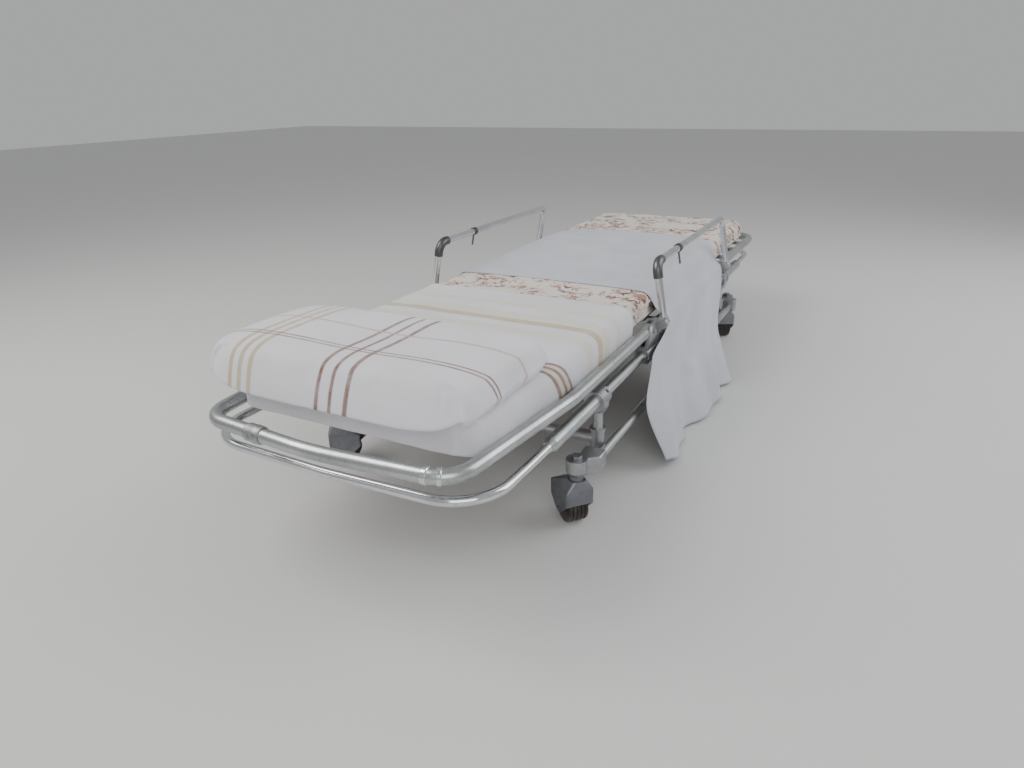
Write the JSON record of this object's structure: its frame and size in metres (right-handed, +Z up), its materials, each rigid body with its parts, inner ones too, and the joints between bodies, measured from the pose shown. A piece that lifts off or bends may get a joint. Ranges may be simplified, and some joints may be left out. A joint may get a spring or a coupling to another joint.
{
  "type": "wheeled ambulance cot",
  "caption": "Low tubular ambulance cot on four hooded swivel casters, with tilting backrest, folding guard rails, mattress, pillow, striped sheet and white sheet.",
  "frame": {"origin": "on the floor, midway between the sides and between the ends", "axes": "+X right side, -Y head end, +Z up"},
  "size_m": [0.79, 2.0159, 0.4254],
  "materials": {
    "frame_tube": "satin",
    "polished_tube": "polished",
    "grey_casting": "hammered, worn",
    "dark_fitting": "satin, worn",
    "hood_metal": "satin, worn",
    "wheel_rubber": "dull",
    "slat_metal": "brushed",
    "ticking": "matte",
    "striped_cotton": "matte",
    "white_cotton": "matte"
  },
  "bodies": {
    "frame": {"base_cross_foot": "frame_tube", "base_cross_head": "frame_tube", "base_rail_left": "frame_tube", "base_rail_right": "frame_tube", "caster_bracket_foot_left": "grey_casting", "caster_bracket_foot_right": "grey_casting", "caster_bracket_head_left": "grey_casting", "caster_bracket_head_right": "grey_casting", "foot_frame": "polished_tube", "foot_slats": "slat_metal", "frame_tee_foot_left": "grey_casting", "frame_tee_foot_right": "grey_casting", "frame_tee_head_left": "grey_casting", "frame_tee_head_right": "grey_casting", "leg_post_foot_left": "frame_tube", "leg_post_foot_right": "frame_tube", "leg_post_head_left": "frame_tube", "leg_post_head_right": "frame_tube", "main_bend_foot": "polished_tube", "main_bend_head": "polished_tube", "main_sleeve_foot_left": "frame_tube", "main_sleeve_foot_right": "frame_tube", "main_sleeve_head_left": "frame_tube", "main_sleeve_head_right": "frame_tube", "main_tube_left": "frame_tube", "main_tube_right": "frame_tube", "mattress_foot": "ticking", "pivot_casting_left": "grey_casting", "pivot_casting_right": "grey_casting", "post_socket_foot_left": "grey_casting", "post_socket_foot_right": "grey_casting", "post_socket_head_left": "grey_casting", "post_socket_head_right": "grey_casting", "rail_bracket_left": "grey_casting", "rail_bracket_right": "grey_casting", "sheet_flap_left": "white_cotton", "sheet_flap_right": "white_cotton", "white_sheet": "white_cotton"},
    "backrest": {"backrest_frame": "polished_tube", "backrest_slats": "slat_metal", "mattress_head": "ticking", "striped_sheet": "striped_cotton", "pillow": "striped_cotton"},
    "guard_right": {"guard_rail_right": "polished_tube", "rail_elbow_right": "dark_fitting", "rail_latch_right": "dark_fitting"},
    "guard_left": {"guard_rail_left": "polished_tube", "rail_elbow_left": "dark_fitting", "rail_latch_left": "dark_fitting"},
    "caster_head_right": {"caster_hood_head_right": "hood_metal"},
    "wheel_head_right": {"caster_wheel_head_right": "wheel_rubber"},
    "caster_head_left": {"caster_hood_head_left": "hood_metal"},
    "wheel_head_left": {"caster_wheel_head_left": "wheel_rubber"},
    "caster_foot_right": {"caster_hood_foot_right": "hood_metal"},
    "wheel_foot_right": {"caster_wheel_foot_right": "wheel_rubber"},
    "caster_foot_left": {"caster_hood_foot_left": "hood_metal"},
    "wheel_foot_left": {"caster_wheel_foot_left": "wheel_rubber"}
  },
  "joints": [
    {"name": "backrest_tilt", "type": "hinge", "parent": "frame", "child": "backrest", "pos_m": [0, -0.206, 0.267], "axis": [-1, 0, 0], "range_deg": [0, 65]},
    {"name": "guard_rail_right_fold", "type": "hinge", "parent": "frame", "child": "guard_right", "pos_m": [0.314, -0.172, 0.277], "axis": [0, 1, 0], "range_deg": [0, 150]},
    {"name": "guard_rail_left_fold", "type": "hinge", "parent": "frame", "child": "guard_left", "pos_m": [-0.314, -0.172, 0.277], "axis": [0, -1, 0], "range_deg": [0, 150]},
    {"name": "caster_head_right_swivel", "type": "hinge", "parent": "frame", "child": "caster_head_right", "pos_m": [0.29, -0.618, 0.1], "axis": [0, 0, 1], "continuous": true},
    {"name": "wheel_head_right_roll", "type": "hinge", "parent": "caster_head_right", "child": "wheel_head_right", "pos_m": [0.27937, -0.60889, 0.03], "axis": [0.6508, 0.7593, 0], "continuous": true},
    {"name": "caster_head_left_swivel", "type": "hinge", "parent": "frame", "child": "caster_head_left", "pos_m": [-0.29, -0.618, 0.1], "axis": [0, 0, 1], "continuous": true},
    {"name": "wheel_head_left_roll", "type": "hinge", "parent": "caster_head_left", "child": "wheel_head_left", "pos_m": [-0.27731, -0.61208, 0.03], "axis": [0.4226, -0.9063, 0], "continuous": true},
    {"name": "caster_foot_right_swivel", "type": "hinge", "parent": "frame", "child": "caster_foot_right", "pos_m": [0.29, 0.618, 0.1], "axis": [0, 0, 1], "continuous": true},
    {"name": "wheel_foot_right_roll", "type": "hinge", "parent": "caster_foot_right", "child": "wheel_foot_right", "pos_m": [0.28343, 0.63036, 0.03], "axis": [0.8829, 0.4695, 0], "continuous": true},
    {"name": "caster_foot_left_swivel", "type": "hinge", "parent": "frame", "child": "caster_foot_left", "pos_m": [-0.29, 0.618, 0.1], "axis": [0, 0, 1], "continuous": true},
    {"name": "wheel_foot_left_roll", "type": "hinge", "parent": "caster_foot_left", "child": "wheel_foot_left", "pos_m": [-0.28138, 0.62903, 0.03], "axis": [0.788, -0.6157, 0], "continuous": true}
  ]
}
